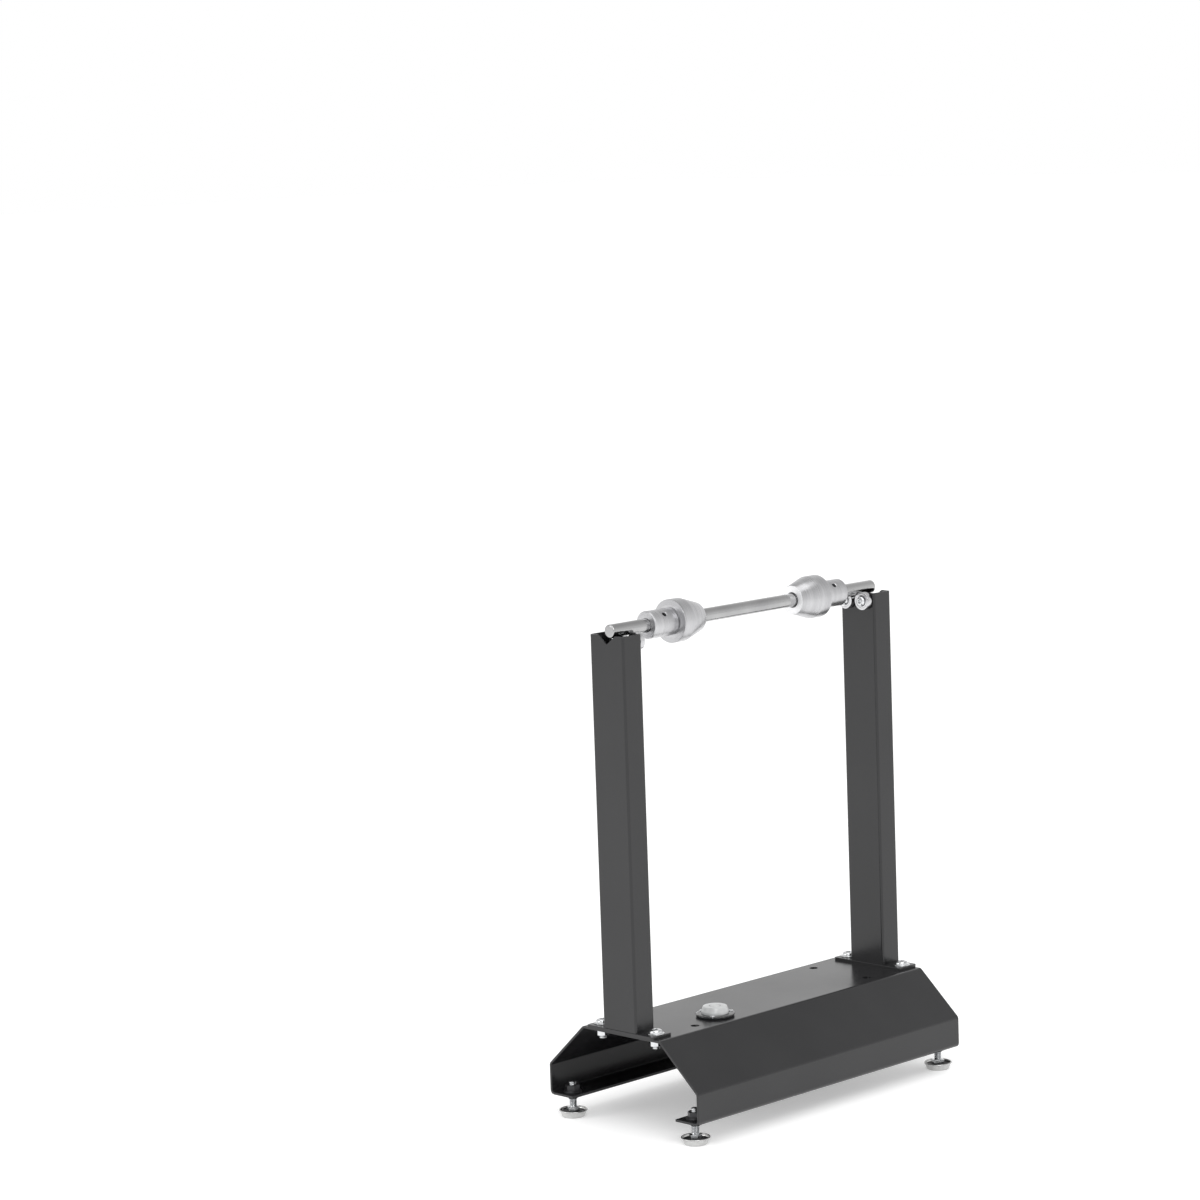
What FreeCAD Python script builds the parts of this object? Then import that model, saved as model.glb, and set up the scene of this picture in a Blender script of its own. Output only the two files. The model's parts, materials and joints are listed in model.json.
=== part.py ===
import FreeCAD, Part
import os
import re
import Sketcher

# A motorcycle wheel balancing stand: a bent steel base on four levelling feet carries two bolted
# uprights, each with two ball bearings, and a plain shaft with two centring cones rolls on them.
# Frame: +Z up from the floor, X along the shaft, Y across the base; the origin is on the floor
# below the middle of the shaft. "Left" is -X, "right" is +X, "front" is -Y and "rear" is +Y.

# Driving dimensions in millimetres: alias, value, meaning.
DIMENSIONS = [
    ("base_length", 402.0, "base channel along X"),
    ("base_top_width", 108.4, "flat top across Y, before its bends are rounded"),
    ("base_bottom_width", 209.6, "over the two upright walls"),
    ("base_top", 102.2, "top face above the floor"),
    ("wall_top", 55.8, "where a slope meets its upright wall"),
    ("wall_bottom", 23.1, "underside of the lips above the floor"),
    ("lip_width", 32.4, "lip, from the wall's outer face inward"),
    ("sheet", 2.5, "base sheet thickness"),
    ("bend_radius", 5.0, "outer radius of every bend"),
    ("cut_edge", 0.5, "rounding of the base's, plates' and tubes' cut edges"),
    ("upright_reach", 189.0, "upright's middle from the middle of the base"),
    ("spare_reach", 132.0, "inner row of upright bolt holes"),
    ("upright_bolt_offset", 37.5, "upright bolt from the centre line, across"),
    ("upright_hole", 4.5, "radius of the upright bolt holes"),
    ("plate_depth", 28.0, "foot plate along X"),
    ("plate_width", 93.0, "foot plate across Y"),
    ("plate_thickness", 3.0, "foot plate"),
    ("plate_corner", 2.5, "foot plate corner radius"),
    ("tube_depth", 26.6, "upright tube along X"),
    ("tube_width", 46.4, "upright tube across Y"),
    ("tube_wall", 2.0, "upright tube wall"),
    ("tube_corner", 2.5, "upright tube outer corner radius"),
    ("tube_top", 506.1, "upper end of the upright tube"),
    ("notch_half_width", 12.2, "V notch at the tube's upper end"),
    ("notch_depth", 9.0, "V notch"),
    ("shaft_height", 509.5, "shaft axis above the floor"),
    ("shaft_length", 396.0, "shaft"),
    ("shaft_radius", 7.0, "shaft"),
    ("shaft_end_radius", 1.6, "rounding of the shaft's ends"),
    ("slide_gap", 0.05, "radial clearance of what slides or turns on the shaft"),
    ("cone_back", 111.0, "cone's large face from the middle of the shaft"),
    ("cone_large", 22.2, "cone's large radius"),
    ("cone_small", 15.1, "cone's small radius"),
    ("cone_rim", 14.0, "straight stretch beside the large face"),
    ("cone_length", 38.0, "cone, straight stretch and taper"),
    ("bore_chamfer", 1.2, "chamfer at the mouths of the bores"),
    ("edge_break", 0.4, "chamfer on turned outer edges"),
    ("collar_gap", 0.4, "gap between a cone and its collar"),
    ("collar_radius", 14.2, "locking collar"),
    ("collar_length", 34.0, "locking collar"),
    ("collar_chamfer", 1.0, "locking collar's outer edges"),
    ("grub_radius", 2.5, "M5 grub screw"),
    ("grub_length", 5.5, "M5 grub screw"),
    ("grub_socket", 2.5, "grub screw socket across flats"),
    ("grub_tilt", 45.0, "degrees from upright, towards the front"),
    ("bearing_radius", 9.5, "outside of the ball bearings"),
    ("bearing_width", 6.0, "ball bearings"),
    ("bearing_bore", 3.0, "radius of the ball bearings' bore"),
    ("bearing_gap", 0.1, "rolling gap between shaft and bearing"),
    ("race_inside", 7.6, "outer ring's inner radius"),
    ("race_outside", 4.9, "inner ring's outer radius"),
    ("ball_circle", 6.25, "radius of the circle the ball centres are on"),
    ("ball_radius", 1.65, "balls"),
    ("shield_thickness", 0.4, "bearing shields"),
    ("shield_inside", 5.2, "shield's inner radius"),
    ("spacer_radius", 4.6, "spacer between bearing and upright"),
    ("spacer_thickness", 1.0, "spacer between bearing and upright"),
    ("pivot_radius", 2.95, "M6 bolt through a bearing"),
    ("pivot_head_radius", 5.0, "its low round head"),
    ("pivot_head", 3.2, "its head height"),
    ("pivot_socket", 4.0, "its hexagon socket across flats"),
    ("pivot_tail", 1.5, "its thread past the nut"),
    ("pivot_nut_flats", 10.0, "its nut across flats"),
    ("pivot_nut_height", 5.0, "its nut"),
    ("plate_bolt_radius", 3.95, "M8 bolt through a foot plate and the base"),
    ("plate_bolt_flange", 8.9, "its flange's radius"),
    ("plate_bolt_flange_height", 1.2, "its flange"),
    ("plate_bolt_dome", 7.0, "radius of its domed head at the seat"),
    ("plate_bolt_crown", 4.6, "radius of the head's flat top"),
    ("plate_bolt_head", 4.4, "its head with the flange"),
    ("plate_bolt_socket", 5.0, "its hexagon socket across flats"),
    ("plate_bolt_socket_depth", 2.4, "its hexagon socket"),
    ("plate_bolt_tail", 3.0, "its thread below the nut"),
    ("plate_nut_flats", 13.0, "its nut across flats"),
    ("plate_nut_height", 6.5, "its nut"),
    ("foot_reach", 187.0, "foot's axis from the middle, along X"),
    ("foot_offset", 86.4, "foot's axis from the middle, across Y"),
    ("foot_hole", 4.4, "radius of the hole in the lip"),
    ("cup_base_radius", 11.8, "foot cup where it stands"),
    ("cup_rim_radius", 15.0, "foot cup at its rim"),
    ("cup_height", 7.6, "foot cup"),
    ("cup_wall", 1.2, "foot cup"),
    ("insert_top", 5.6, "top of the black filling in the cup"),
    ("stem_radius", 4.0, "M8 stem"),
    ("stem_top", 37.0, "top of the stem above the floor"),
    ("stem_hex_flats", 11.6, "hexagon at the stem's lower end"),
    ("stem_hex_top", 10.4, "top of that hexagon above the floor"),
    ("nut_clearance", 0.05, "radial clearance of the stem in its nuts"),
    ("lock_nut_flats", 13.0, "M8 lock nut under the lip"),
    ("lock_nut_height", 4.2, "M8 lock nut under the lip, flange side up"),
    ("lock_nut_radius", 7.9, "its flange"),
    ("lock_nut_flange", 1.2, "its flange's thickness"),
    ("lock_nut_tip", 5.2, "its radius where it tapers to the stem"),
    ("flange_nut_flats", 13.0, "M8 flange nut on the lip"),
    ("flange_nut_height", 7.8, "M8 flange nut on the lip"),
    ("flange_nut_radius", 9.4, "its flange"),
    ("flange_nut_flange", 1.8, "its flange's thickness"),
    ("level_x", -88.2, "middle of the spirit level along X"),
    ("level_y", -24.4, "middle of the spirit level across Y"),
    ("level_radius", 20.1, "spirit level's flange"),
    ("level_flange", 1.4, "spirit level's flange"),
    ("level_pad_radius", 19.4, "black pad under the flange"),
    ("level_pad", 1.6, "black pad under the flange"),
    ("vial_radius", 14.3, "vial where it leaves the flange"),
    ("vial_shoulder", 14.2, "vial's radius at its shoulder"),
    ("vial_crown", 12.2, "vial's radius at its top"),
    ("vial_shoulder_rise", 4.4, "shoulder above the flange's underside"),
    ("vial_rise", 9.0, "vial's top above the flange's underside"),
    ("vial_wall", 1.3, "vial"),
    ("bubble_radius", 9.0, "radius of the sphere that rounds the bubble"),
    ("bubble_depth", 1.4, "bubble below the vial's inner top"),
    ("level_screw_circle", 17.2, "radius of the circle the level's screws are on"),
    ("level_screw_radius", 1.3, "level's screws"),
    ("level_screw_head", 2.5, "radius of the level's screw heads"),
    ("level_screw_head_height", 1.3, "level's screw heads"),
    ("level_screw_tail", 2.0, "level's screws below the base sheet"),
]
BALLS_PER_BEARING = 7
LEVEL_SCREWS = 3
LEVEL_SCREW_TURN = -25.0

SIDES = (("left", -1), ("right", 1))
DEPTHS = (("front", -1), ("rear", 1))
ORIGIN = FreeCAD.Vector(0, 0, 0)
ALONG_X = FreeCAD.Vector(1, 0, 0)
ALONG_Z = FreeCAD.Vector(0, 0, 1)
# Turns a body made about its own X axis so that X points up.
UPWARD = FreeCAD.Rotation(FreeCAD.Vector(0, 1, 0), -90)

document = FreeCAD.newDocument("WheelBalancer")
sheet = document.addObject("Spreadsheet::Sheet", "Sizes")
for row, (alias, millimetres, meaning) in enumerate(DIMENSIONS, start=1):
    sheet.set("A%d" % row, meaning)
    sheet.set("B%d" % row, str(millimetres))
    sheet.setAlias("B%d" % row, alias)
document.recompute()
ALIASES = {alias for alias, millimetres, meaning in DIMENSIONS}
NODES = []


# Rules: texts such as "tube_width / 2", written with the sheet's aliases.

def rule(text):
    """The text as an expression for an object other than the sheet."""
    def add_sheet(word):
        return "Sizes." + word.group() if word.group() in ALIASES else word.group()
    return re.sub(r"[a-z_]+", add_sheet, text)


def value(text):
    """What the rule comes to now, in millimetres."""
    return float(sheet.evalExpression(text))


def bind(item, **rules):
    """Bind each named property of the item to its rule."""
    for name, text in rules.items():
        item.setExpression(name, rule(text))


def place(item, x="0", y="0", z="0", rotation=None):
    """Turn the item, then bind the place of its own origin."""
    if rotation:
        item.Placement = FreeCAD.Placement(ORIGIN, rotation)
    for axis, text in (("x", x), ("y", y), ("z", z)):
        if text != "0":
            item.setExpression(".Placement.Base." + axis, rule(text))


def node(item, name):
    """The item is a sub-part: give it the label that names its file."""
    item.Label = name
    NODES.append(item)
    return item


def times(sign, text):
    """The rule, or its opposite where the sign is -1."""
    return text if sign > 0 else "-(" + text + ")"


# Sketches and PartDesign features.

def new_body(name):
    return node(document.addObject("PartDesign::Body", name), name)


def new_sketch(body, name, plane):
    sketch = body.newObject("Sketcher::SketchObject", name)
    support = [item for item in body.Origin.OriginFeatures if item.Role == plane][0]
    sketch.AttachmentSupport = (support, [""])
    sketch.MapMode = "FlatFace"
    return sketch


def pin_point(sketch, geometry, end, across, up):
    """Fix one point of the geometry by its two rules."""
    for kind, text, axis in (("DistanceX", across, -2), ("DistanceY", up, -1)):
        if text == "0":
            sketch.addConstraint(Sketcher.Constraint("PointOnObject", geometry, end, axis))
            continue
        constraint = Sketcher.Constraint(kind, -1, 1, geometry, end, value(text))
        number = sketch.addConstraint(constraint)
        sketch.setExpression("Constraints[%d]" % number, rule(text))


def add_outline(sketch, corners):
    """A closed outline of straight lines through corners given as pairs of rules."""
    points = [FreeCAD.Vector(value(across), value(up), 0) for across, up in corners]
    count = len(points)
    lines = []
    for index, point in enumerate(points):
        lines.append(sketch.addGeometry(Part.LineSegment(point, points[(index + 1) % count])))
    for index, line in enumerate(lines):
        joint = Sketcher.Constraint("Coincident", line, 2, lines[(index + 1) % count], 1)
        sketch.addConstraint(joint)
    for line, (across, up) in zip(lines, corners):
        pin_point(sketch, line, 1, across, up)


def add_circle(sketch, across, up, radius):
    centre = FreeCAD.Vector(value(across), value(up), 0)
    circle = sketch.addGeometry(Part.Circle(centre, ALONG_Z, value(radius)))
    pin_point(sketch, circle, 3, across, up)
    number = sketch.addConstraint(Sketcher.Constraint("Radius", circle, value(radius)))
    sketch.setExpression("Constraints[%d]" % number, rule(radius))


def add_rectangle(sketch, half_across, half_up):
    add_outline(sketch, [(times(a, half_across), times(b, half_up))
                         for a, b in ((-1, -1), (1, -1), (1, 1), (-1, 1))])


def add_pad(body, sketch, length, symmetric=False):
    pad = body.newObject("PartDesign::Pad", "Pad")
    pad.Profile = sketch
    pad.SideType = "Symmetric" if symmetric else "One side"
    bind(pad, Length=length)
    document.recompute()
    return pad


def add_pocket(body, sketch, length=None, symmetric=False, reverse=False):
    """Cut the sketch out, through everything where no length is given."""
    before = body.Shape.Volume
    pocket = body.newObject("PartDesign::Pocket", "Pocket")
    pocket.Profile = sketch
    pocket.SideType = "Symmetric" if symmetric else "One side"
    pocket.Reversed = reverse
    if length:
        bind(pocket, Length=length)
    else:
        pocket.Type = "ThroughAll"
    document.recompute()
    if body.Shape.Volume > before - 1e-3:
        raise ValueError(body.Label + ": " + sketch.Name + " cut nothing")
    return pocket


def add_revolution(body, sketch):
    """Turn the sketch about its own horizontal axis."""
    revolution = body.newObject("PartDesign::Revolution", "Revolution")
    revolution.Profile = sketch
    revolution.ReferenceAxis = (sketch, ["H_Axis"])
    revolution.Angle = 360.0
    document.recompute()
    return revolution


def add_fillet(body, base, edges, radius):
    fillet = body.newObject("PartDesign::Fillet", "Fillet")
    fillet.Base = (base, edges)
    bind(fillet, Radius=radius)
    document.recompute()
    return fillet


def add_shell(body, base, faces, thickness):
    """Hollow the base inward, leaving the named faces open."""
    shell = body.newObject("PartDesign::Thickness", "Shell")
    shell.Base = (base, faces)
    shell.Reversed = True
    bind(shell, Value=thickness)
    document.recompute()
    return shell


def edges_along(shape, direction):
    """Names of the straight edges that run along the direction."""
    names = []
    for number, edge in enumerate(shape.Edges, start=1):
        straight = edge.Curve.TypeId == "Part::GeomLine"
        if straight and abs(abs(edge.tangentAt(edge.FirstParameter).dot(direction)) - 1) < 1e-6:
            names.append("Edge%d" % number)
    return names


def edges_between(shape, direction, low, high):
    """Names of the edges that lie wholly between two distances along the direction."""
    names = []
    for number, edge in enumerate(shape.Edges, start=1):
        along = [vertex.Point.dot(direction) for vertex in edge.Vertexes]
        if min(along) > low and max(along) < high:
            names.append("Edge%d" % number)
    return names


def faces_across(shape, direction):
    """Names of the flat faces at the shape's two ends along the direction."""
    places = [face.CenterOfMass.dot(direction) for face in shape.Faces]
    ends = (min(places), max(places))
    return ["Face%d" % number for number, place_along in enumerate(places, start=1)
            if min(abs(place_along - end) for end in ends) < 1e-6]


# Part primitives.

def cylinder(radius, height, x="0", y="0", z="0", rotation=None):
    item = document.addObject("Part::Cylinder", "Cylinder")
    bind(item, Radius=radius, Height=height)
    place(item, x, y, z, rotation)
    return item


def hexagon(flats, height, x="0", y="0", z="0", rotation=None):
    item = document.addObject("Part::Prism", "Hexagon")
    item.Polygon = 6
    bind(item, Circumradius="(" + flats + ") / sqrt(3)", Height=height)
    place(item, x, y, z, rotation)
    return item


def frustum(low_radius, high_radius, height, x="0", y="0", z="0", rotation=None):
    item = document.addObject("Part::Cone", "Frustum")
    bind(item, Radius1=low_radius, Radius2=high_radius, Height=height)
    place(item, x, y, z, rotation)
    return item


def chamfered_hexagon(flats, height, x, y, z, rotation=None, both_ends=False):
    """A hexagon with its corners turned off at 30 degrees, at its far end or at both ends."""
    face = "(" + flats + ") * 0.475"
    wide = face + " + (" + height + ") * sqrt(3)"
    item = document.addObject("Part::MultiCommon", "ChamferedHexagon")
    item.Shapes = [hexagon(flats, height, x, y, z, rotation),
                   frustum(wide, face, height, x, y, z, rotation)]
    if both_ends:
        item.Shapes += [frustum(face, wide, height, x, y, z, rotation)]
    return item


def cut(base, tool):
    item = document.addObject("Part::Cut", "Cut")
    item.Base = base
    item.Tool = tool
    return item


def fuse(pieces):
    item = document.addObject("Part::MultiFuse", "Fuse")
    item.Shapes = pieces
    return item


def group(pieces, name):
    """Separate solids of one kind that share a node."""
    item = document.addObject("Part::Compound", name)
    item.Links = pieces
    return node(item, name)


# Base.

def make_base():
    """The bent sheet: flat top, sloping sides, upright walls and lips turned inward."""
    body = new_body("base_channel")
    section = new_sketch(body, "Section", "YZ_Plane")
    half = [("base_bottom_width / 2", "wall_bottom"),
            ("base_bottom_width / 2", "wall_top"),
            ("base_top_width / 2", "base_top")]
    mirrored = [("-" + across, up) for across, up in reversed(half)]
    add_outline(section, half + mirrored)
    block = add_pad(body, section, "base_length", symmetric=True)
    bent = add_fillet(body, block, edges_along(block.Shape, ALONG_X), "bend_radius")
    add_shell(body, bent, faces_across(bent.Shape, ALONG_X), "sheet")

    gap = new_sketch(body, "GapBetweenLips", "XY_Plane")
    add_rectangle(gap, "base_length", "base_bottom_width / 2 - lip_width")
    add_pocket(body, gap, "wall_top", reverse=True)

    bolt_holes = new_sketch(body, "UprightHoles", "XY_Plane")
    for reach in ("upright_reach", "spare_reach"):
        for side, along in SIDES:
            for depth, across in DEPTHS:
                add_circle(bolt_holes, times(along, reach), times(across, "upright_bolt_offset"),
                           "upright_hole")
    add_pocket(body, bolt_holes, reverse=True)

    foot_holes = new_sketch(body, "FootHoles", "XY_Plane")
    for side, along in SIDES:
        for depth, across in DEPTHS:
            add_circle(foot_holes, times(along, "foot_reach"), times(across, "foot_offset"),
                       "foot_hole")
    add_pocket(body, foot_holes, "wall_bottom + bend_radius", reverse=True)

    level_holes = new_sketch(body, "LevelHoles", "XY_Plane")
    for turn in level_screw_turns():
        add_circle(level_holes, level_screw_rule("level_x", "cos", turn),
                   level_screw_rule("level_y", "sin", turn), "level_screw_radius")
    drilled = add_pocket(body, level_holes, reverse=True)

    end = value("base_length / 2")
    cut_edges = (edges_between(drilled.Shape, ALONG_X, end - 0.01, end + 0.01)
                 + edges_between(drilled.Shape, ALONG_X, -end - 0.01, 0.01 - end))
    add_fillet(body, drilled, cut_edges, "cut_edge")


# Uprights.

def make_upright(side, sign):
    """Foot plate and notched tube; their inner sides face the middle of the stand."""
    facing = FreeCAD.Rotation(ALONG_Z, 0 if sign < 0 else 180)
    reach = times(sign, "upright_reach")

    plate = new_body(side + "_foot_plate")
    outline = new_sketch(plate, "Outline", "XY_Plane")
    add_rectangle(outline, "plate_depth / 2", "plate_width / 2")
    slab = add_pad(plate, outline, "plate_thickness")
    add_fillet(plate, slab, edges_along(slab.Shape, ALONG_Z), "plate_corner")
    holes = new_sketch(plate, "BoltHoles", "XY_Plane")
    for depth, across in DEPTHS:
        add_circle(holes, "0", times(across, "upright_bolt_offset"), "upright_hole")
    drilled = add_pocket(plate, holes, reverse=True)
    top = value("plate_thickness")
    add_fillet(plate, drilled, edges_between(drilled.Shape, ALONG_Z, top - 0.01, top + 0.01),
               "cut_edge")
    place(plate, reach, z="base_top", rotation=facing)

    tube = new_body(side + "_upright")
    outline = new_sketch(tube, "Outline", "XY_Plane")
    add_rectangle(outline, "tube_depth / 2", "tube_width / 2")
    bar = add_pad(tube, outline, "tube_top - base_top - plate_thickness")
    rounded = add_fillet(tube, bar, edges_along(bar.Shape, ALONG_Z), "tube_corner")
    add_shell(tube, rounded, faces_across(rounded.Shape, ALONG_Z), "tube_wall")
    notch = new_sketch(tube, "Notch", "YZ_Plane")
    top = "tube_top - base_top - plate_thickness"
    above = " + notch_depth"
    add_outline(notch, [("0", top + " - notch_depth"),
                        ("notch_half_width * 2", top + above),
                        ("-notch_half_width * 2", top + above)])
    notched = add_pocket(tube, notch, "tube_depth * 2", symmetric=True)
    lowest = value(top + " - notch_depth") - 0.01
    highest = value(top) + 0.01
    add_fillet(tube, notched, edges_between(notched.Shape, ALONG_Z, lowest, highest), "cut_edge")
    pivots = new_sketch(tube, "PivotHoles", "YZ_Plane")
    for depth, across in DEPTHS:
        add_circle(pivots, times(across, bearing_offset()),
                   bearing_height() + " - base_top - plate_thickness", "pivot_radius + 0.2")
    add_pocket(tube, pivots, "tube_depth", reverse=True)
    place(tube, reach, z="base_top + plate_thickness", rotation=facing)

    bolts = []
    nuts = []
    for depth, across in DEPTHS:
        offset = times(across, "upright_bolt_offset")
        bolts.append(plate_bolt(reach, offset))
        nuts.append(nut("plate_nut_flats", "plate_nut_height", "plate_bolt_radius", reach, offset,
                        "base_top - sheet - plate_nut_height"))
    group(bolts, side + "_upright_bolts")
    group(nuts, side + "_upright_nuts")


def plate_bolt(x, y):
    """M8 bolt: flanged dome head on a foot plate, its shank through plate, sheet and nut."""
    seat = "base_top + plate_thickness"
    tip = "base_top - sheet - plate_nut_height - plate_bolt_tail"
    flange = cylinder("plate_bolt_flange", "plate_bolt_flange_height", x, y, seat)
    dome = frustum("plate_bolt_dome", "plate_bolt_crown", "plate_bolt_head", x, y, seat)
    shank = cylinder("plate_bolt_radius", seat + " - (" + tip + ")", x, y, tip)
    socket = hexagon("plate_bolt_socket", "plate_bolt_head", x, y,
                     seat + " + plate_bolt_head - plate_bolt_socket_depth")
    return cut(fuse([flange, dome, shank]), socket)


def nut(flats, height, bore, x, y, z, rotation=None):
    body = chamfered_hexagon(flats, height, x, y, z, rotation, True)
    return cut(body, cylinder(bore, height, x, y, z, rotation))


# Ball bearings that carry the shaft.

def bearing_offset():
    """Bearing axis from the shaft axis, across; the two are tangent at 45 degrees."""
    return "(shaft_radius + bearing_radius + bearing_gap) * sqrt(0.5)"


def bearing_height():
    return "shaft_height - " + bearing_offset()


def make_bearings(side, sign):
    """Two bearings on the inner wall of one upright, each on its own bolt, spacer and nut."""
    inward = FreeCAD.Rotation(FreeCAD.Vector(0, 1, 0), -90 * sign)
    wall = "upright_reach - tube_depth / 2"
    face = wall + " - spacer_thickness"
    inner_rings = []
    balls = []
    spacers = []
    bolts = []
    nuts = []
    for depth, across in DEPTHS:
        y = times(across, bearing_offset())
        z = bearing_height()

        def ring(outer, inner, width, reach):
            """A ring about the bearing's axis, from a distance outward from the middle."""
            x = times(sign, reach)
            return cut(cylinder(outer, width, x, y, z, inward),
                       cylinder(inner, width, x, y, z, inward))

        def ball_groove(radius):
            groove = document.addObject("Part::Torus", "BallGroove")
            bind(groove, Radius1="ball_circle", Radius2=radius)
            place(groove, times(sign, face + " - bearing_width / 2"), y, z, inward)
            return groove

        name = side + "_" + depth + "_bearing"
        outer = cut(ring("bearing_radius", "race_inside", "bearing_width", face),
                    ball_groove("ball_radius + 0.15"))
        node(outer, name + "_outer_ring")
        group([ring("race_inside", "shield_inside", "shield_thickness", face),
               ring("race_inside", "shield_inside", "shield_thickness",
                    face + " - bearing_width + shield_thickness")], name + "_shields")
        inner_rings.append(cut(ring("race_outside", "bearing_bore", "bearing_width", face),
                               ball_groove("ball_radius + 0.05")))
        for number in range(BALLS_PER_BEARING):
            turn = "%.4f" % (number * 360 / BALLS_PER_BEARING)
            ball = document.addObject("Part::Sphere", "Ball")
            bind(ball, Radius="ball_radius")
            place(ball, times(sign, face + " - bearing_width / 2"),
                  y + " + ball_circle * cos(" + turn + ")",
                  z + " + ball_circle * sin(" + turn + ")")
            balls.append(ball)
        spacers.append(ring("spacer_radius", "bearing_bore", "spacer_thickness", wall))
        bolts.append(pivot_bolt(sign, y, z, face, inward))
        nuts.append(nut("pivot_nut_flats", "pivot_nut_height", "pivot_radius",
                        times(sign, wall + " + tube_wall + pivot_nut_height"), y, z, inward))
    group(inner_rings, side + "_bearing_inner_rings")
    group(balls, side + "_bearing_balls")
    group(spacers, side + "_bearing_spacers")
    group(bolts, side + "_bearing_bolts")
    group(nuts, side + "_bearing_nuts")


def pivot_bolt(sign, y, z, face, inward):
    """M6 bolt with a low round head that clamps a bearing's inner ring to the upright."""
    seat = face + " - bearing_width"
    tail = "spacer_thickness + tube_wall + pivot_nut_height + pivot_tail"
    shank = cylinder("pivot_radius", "bearing_width + " + tail,
                     times(sign, face + " + " + tail), y, z, inward)
    head = cylinder("pivot_head_radius", "pivot_head", times(sign, seat), y, z, inward)
    socket = hexagon("pivot_socket", "pivot_head",
                     times(sign, seat + " - pivot_head / 3"), y, z, inward)
    return cut(fuse([shank, head]), socket)


# Shaft, centring cones and locking collars.

def make_shaft():
    body = new_body("shaft")
    section = new_sketch(body, "Section", "YZ_Plane")
    add_circle(section, "0", "0", "shaft_radius")
    bar = add_pad(body, section, "shaft_length", symmetric=True)
    rims = ["Edge%d" % number for number, edge in enumerate(bar.Shape.Edges, start=1)
            if edge.Curve.TypeId == "Part::GeomCircle"]
    add_fillet(body, bar, rims, "shaft_end_radius")
    place(body, z="shaft_height")


def make_cone(side, sign):
    """Turned centring cone: its large face is outward, its small face towards the wheel."""
    bore = "shaft_radius + slide_gap"
    body = new_body(side + "_cone")
    section = new_sketch(body, "Section", "XZ_Plane")
    add_outline(section, [("bore_chamfer", bore),
                          ("0", bore + " + bore_chamfer"),
                          ("0", "cone_large - edge_break"),
                          ("edge_break", "cone_large"),
                          ("cone_rim", "cone_large"),
                          ("cone_length - edge_break", "cone_small"),
                          ("cone_length", "cone_small - edge_break"),
                          ("cone_length", bore + " + bore_chamfer"),
                          ("cone_length - bore_chamfer", bore)])
    add_revolution(body, section)
    facing = FreeCAD.Rotation(ALONG_Z, 0 if sign < 0 else 180)
    place(body, times(sign, "cone_back"), z="shaft_height", rotation=facing)


def make_collar(side, sign):
    """Locking collar behind a cone, with one radial grub screw that bears on the shaft."""
    bore = "shaft_radius + slide_gap"
    tilt = FreeCAD.Rotation(ALONG_X, value("grub_tilt"))
    middle = times(sign, "cone_back + collar_gap + collar_length / 2")
    body = new_body(side + "_collar")
    section = new_sketch(body, "Section", "XZ_Plane")
    half = "collar_length / 2"
    add_outline(section, [("-" + half, bore),
                          ("-" + half, "collar_radius - collar_chamfer"),
                          ("-" + half + " + collar_chamfer", "collar_radius"),
                          (half + " - collar_chamfer", "collar_radius"),
                          (half, "collar_radius - collar_chamfer"),
                          (half, bore)])
    add_revolution(body, section)
    hole = new_sketch(body, "GrubHole", "XY_Plane")
    add_circle(hole, "0", "0", "grub_radius + slide_gap")
    add_pocket(body, hole, reverse=True)
    place(body, middle, z="shaft_height", rotation=tilt)

    rise = "(shaft_radius + slide_gap)"
    screw = cylinder("grub_radius", "grub_length")
    socket = hexagon("grub_socket", "grub_length", z="grub_length / 2")
    grub = node(cut(screw, socket), side + "_grub_screw")
    place(grub, middle, "-" + rise + " * sin(grub_tilt)",
          "shaft_height + " + rise + " * cos(grub_tilt)", tilt)


# Levelling feet.

def make_foot(name, x, y):
    """Pressed cup, black filling and threaded stem; local Z is the stem's axis."""
    slope = "(cup_rim_radius - cup_base_radius) / cup_height"
    cup = new_body(name + "_cup")
    section = new_sketch(cup, "Section", "XZ_Plane")
    add_outline(section, [("0", "0"),
                          ("0", "cup_base_radius"),
                          ("cup_height", "cup_rim_radius"),
                          ("cup_height", "cup_rim_radius - cup_wall"),
                          ("cup_wall", "cup_base_radius - cup_wall + cup_wall * " + slope),
                          ("cup_wall", "0")])
    add_revolution(cup, section)
    place(cup, x, y, rotation=UPWARD)

    filling = new_body(name + "_filling")
    section = new_sketch(filling, "Section", "XZ_Plane")
    add_outline(section, [("cup_wall", "stem_radius"),
                          ("cup_wall", "cup_base_radius - cup_wall + cup_wall * " + slope),
                          ("insert_top", "cup_base_radius - cup_wall + insert_top * " + slope),
                          ("insert_top", "stem_radius")])
    add_revolution(filling, section)
    place(filling, x, y, rotation=UPWARD)

    thread = cylinder("stem_radius", "stem_top - cup_wall", x, y, "cup_wall")
    grip = hexagon("stem_hex_flats", "stem_hex_top - insert_top", x, y, "insert_top")
    node(fuse([thread, grip]), name + "_stem")


def lock_nut(x, y, bore):
    """M8 nut with its flange against the lip; its hexagon tapers down towards the stem."""
    low = "wall_bottom - lock_nut_height"
    flange = cylinder("lock_nut_radius", "lock_nut_flange", x, y,
                      "wall_bottom - lock_nut_flange")
    grip = document.addObject("Part::MultiCommon", "TaperedHexagon")
    grip.Shapes = [hexagon("lock_nut_flats", "lock_nut_height", x, y, low),
                   frustum("lock_nut_tip", "lock_nut_radius", "lock_nut_height", x, y, low)]
    return cut(fuse([flange, grip]), cylinder(bore, "lock_nut_height", x, y, low))


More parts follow.
